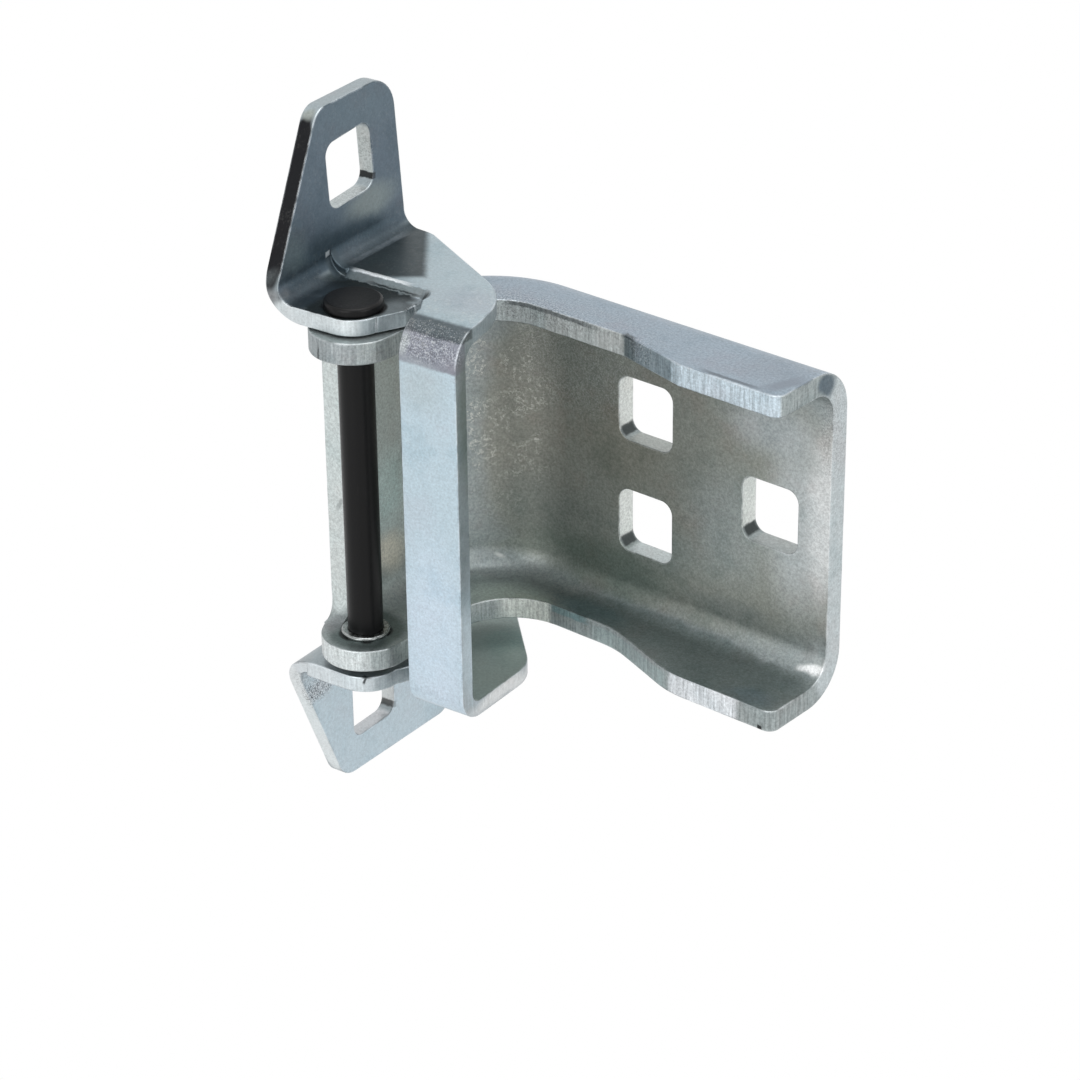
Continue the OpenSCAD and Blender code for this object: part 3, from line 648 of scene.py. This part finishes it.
# Sharp edges broken, but for short ones from which a corner would shoot off
def broken_edges(mesh, width):
    left_out = set()
    while True:
        work = merged(mesh)
        edges = [
            edge for edge in work.edges
            if edge.index not in left_out and edge.calc_face_angle(0) > SHARP_ANGLE
        ]
        near = point_tree(along(edges))
        old = point_tree([vert.co.copy() for vert in work.verts])
        skin = BVHTree.FromBMesh(work)
        short = short_by_vertex(edges)
        bmesh.ops.bevel(
            work, geom=edges, offset=width, offset_type="OFFSET", segments=2, profile=0.5,
            affect="EDGES", clamp_overlap=False
        )
        blamed = set()
        for vert in work.verts:
            if old.find(vert.co)[2] < SAME_VERTEX:
                continue
            place, normal, _, gap = skin.find_nearest(vert.co)
            outside = gap > STANDS_OUT * width and (vert.co - place).dot(normal) > 0
            if outside or near.find(vert.co)[2] > STRAYS * width:
                for edge in vert.link_edges:
                    _, index, gap = old.find(edge.other_vert(vert).co)
                    if gap < FAULT_WITHIN * width:
                        blamed |= short.get(index, set())
        if not blamed:
            return work
        left_out |= blamed
        work.free()


# Faces in the order of their middles, because the bevel's own order changes from run to run
def put_in_order(work):
    ordered = sorted(work.faces, key=lambda face: tuple(face.calc_center_median()))
    rank = {face: i for i, face in enumerate(ordered)}
    work.faces.sort(key=rank.get)


# A CAD node's shape again, with its sharp edges broken
def dressed(node, body, material, width):
    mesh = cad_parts[node].data.copy()
    mesh.materials.clear()
    work = broken_edges(mesh, width)
    bmesh.ops.dissolve_degenerate(work, dist=NO_EDGE, edges=work.edges)
    put_in_order(work)
    work.to_mesh(mesh)
    work.free()
    piece = bpy.data.objects.new(node + "_dressed", mesh)
    bpy.context.scene.collection.objects.link(piece)
    mesh.materials.append(material)
    for face in mesh.polygons:
        face.use_smooth = True
        face.material_index = 0
    normals = piece.modifiers.new("normals", "WEIGHTED_NORMAL")
    normals.keep_sharp = True
    normals.weight = 80
    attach(piece, body)
    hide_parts(node)


# Materials
tab_zinc = zinc(
    "zinc_tab_plate", TAB_TURN, base=(150, 160, 164), reflections_and_shade=TAB_REFLECTIONS_AND_SHADE, late=TAB_LATE,
    coarse=TAB_COARSE, grain=0.12, streak=tab_streak, edge_tone=(226, 232, 236),
    scratch_zone=((28, 8, 57), (14, 22, 12), 0.35)
)
channel_zinc = zinc(
    "zinc_channel_plate", 0.0, base=(150, 158, 158), reflections_and_shade=CHANNEL_REFLECTIONS_AND_SHADE, late=CHANNEL_LATE,
    coarse=CHANNEL_COARSE, grain=0.21, streak=channel_streak, edge_tone=(226, 230, 232),
    scratch_zone=((3, 56, 8), (23, 18, 40), 0.9)
)
pin_black = black_pin()
bush_bright = bush_steel()

# Pieces
dressed("channel_leaf", "channel", channel_zinc, LEAF_BREAK)
dressed("tab_leaf", "tab", tab_zinc, LEAF_BREAK)
dressed("hinge_pin", "tab", pin_black, PIN_BREAK)
dressed("upper_bush", "channel", bush_bright, BUSH_BREAK)
dressed("lower_bush", "channel", bush_bright, BUSH_BREAK)


# One for rays from the camera and from reflections, nought for all others
def seen_directly(tree):
    path = tree.nodes.new("ShaderNodeLightPath")
    seen = path.outputs["Is Camera Ray"]
    for other in ("Is Glossy Ray", "Is Transmission Ray"):
        either = tree.nodes.new("ShaderNodeMath")
        either.operation = "MAXIMUM"
        tree.links.new(seen, either.inputs[0])
        tree.links.new(path.outputs[other], either.inputs[1])
        seen = either.outputs[0]
    return seen


# A plain shader that looks white where it is seen directly
def shown_white(tree, plain, white_kind, output_kind):
    white = tree.nodes.new(white_kind)
    white.inputs["Color"].default_value = WHITE
    white.inputs["Strength"].default_value = 1.0
    mix = tree.nodes.new("ShaderNodeMixShader")
    tree.links.new(seen_directly(tree), mix.inputs[0])
    tree.links.new(plain.outputs[0], mix.inputs[1])
    tree.links.new(white.outputs[0], mix.inputs[2])
    out = tree.nodes.new(output_kind)
    tree.links.new(mix.outputs[0], out.inputs["Surface"])


# Soft studio light from all round
def make_world():
    world = bpy.data.worlds.new("studio")
    bpy.context.scene.world = world
    world.use_nodes = True
    tree = world.node_tree
    tree.nodes.clear()
    soft = tree.nodes.new("ShaderNodeBackground")
    soft.inputs["Color"].default_value = STUDIO_TINT
    soft.inputs["Strength"].default_value = STUDIO_LIGHT
    shown_white(tree, soft, "ShaderNodeBackground", "ShaderNodeOutputWorld")


# Plain pale floor
def make_floor():
    bpy.ops.mesh.primitive_plane_add(size=FLOOR_SIZE, location=(0, 0, FLOOR_Z))
    floor = bpy.context.object
    floor.name = "floor"
    mat = bpy.data.materials.new("floor_white")
    mat.use_nodes = True
    tree = mat.node_tree
    tree.nodes.clear()
    plain = tree.nodes.new("ShaderNodeBsdfDiffuse")
    plain.inputs["Color"].default_value = FLOOR_GREY
    shown_white(tree, plain, "ShaderNodeEmission", "ShaderNodeOutputMaterial")
    floor.data.materials.append(mat)


# Soft rectangular lamp: place, target and size in metres, power in watts
def lamp(name, place, target, size, power):
    data = bpy.data.lights.new(name, "AREA")
    data.shape = "RECTANGLE"
    data.size, data.size_y = size
    data.energy = power
    obj = bpy.data.objects.new(name, data)
    bpy.context.scene.collection.objects.link(obj)
    obj.location = place
    obj.rotation_euler = (Vector(target) - Vector(place)).to_track_quat("-Z", "Y").to_euler()


# Camera at the photo's angle
def make_camera():
    side = Vector((math.cos(CAMERA_AZIMUTH), math.sin(CAMERA_AZIMUTH), 0))
    level = Vector((math.sin(CAMERA_AZIMUTH), -math.cos(CAMERA_AZIMUTH), 0))
    back = math.cos(CAMERA_ELEVATION) * level + math.sin(CAMERA_ELEVATION) * Vector(UP)
    top = back.cross(side)
    roll_side = math.cos(CAMERA_ROLL) * side + math.sin(CAMERA_ROLL) * top
    roll_top = math.cos(CAMERA_ROLL) * top - math.sin(CAMERA_ROLL) * side
    eye = bpy.data.cameras.new("camera")
    eye.sensor_fit = "HORIZONTAL"
    eye.sensor_width = SENSOR
    eye.lens = LENS
    eye.clip_start = 0.01
    eye.clip_end = 50
    camera = bpy.data.objects.new("camera", eye)
    bpy.context.scene.collection.objects.link(camera)
    turn = Matrix((roll_side, roll_top, back)).transposed().to_4x4()
    camera.matrix_world = Matrix.Translation(CAMERA_PLACE) @ turn
    bpy.context.scene.camera = camera


# Studio
make_world()
make_floor()
lamp("top_soft", (0.1, -0.1, 0.9), (0, -0.02, 0), (0.8, 0.8), 5.0)
lamp("front_soft", (0.1, -1.1, 0.25), (-0.02, -0.02, 0), (0.6, 0.9), 4.0)
lamp("right_soft", (1.1, -0.1, 0.2), (-0.02, -0.02, 0), (0.5, 0.8), 3.0)
make_camera()
bpy.context.scene.view_settings.view_transform = "Standard"
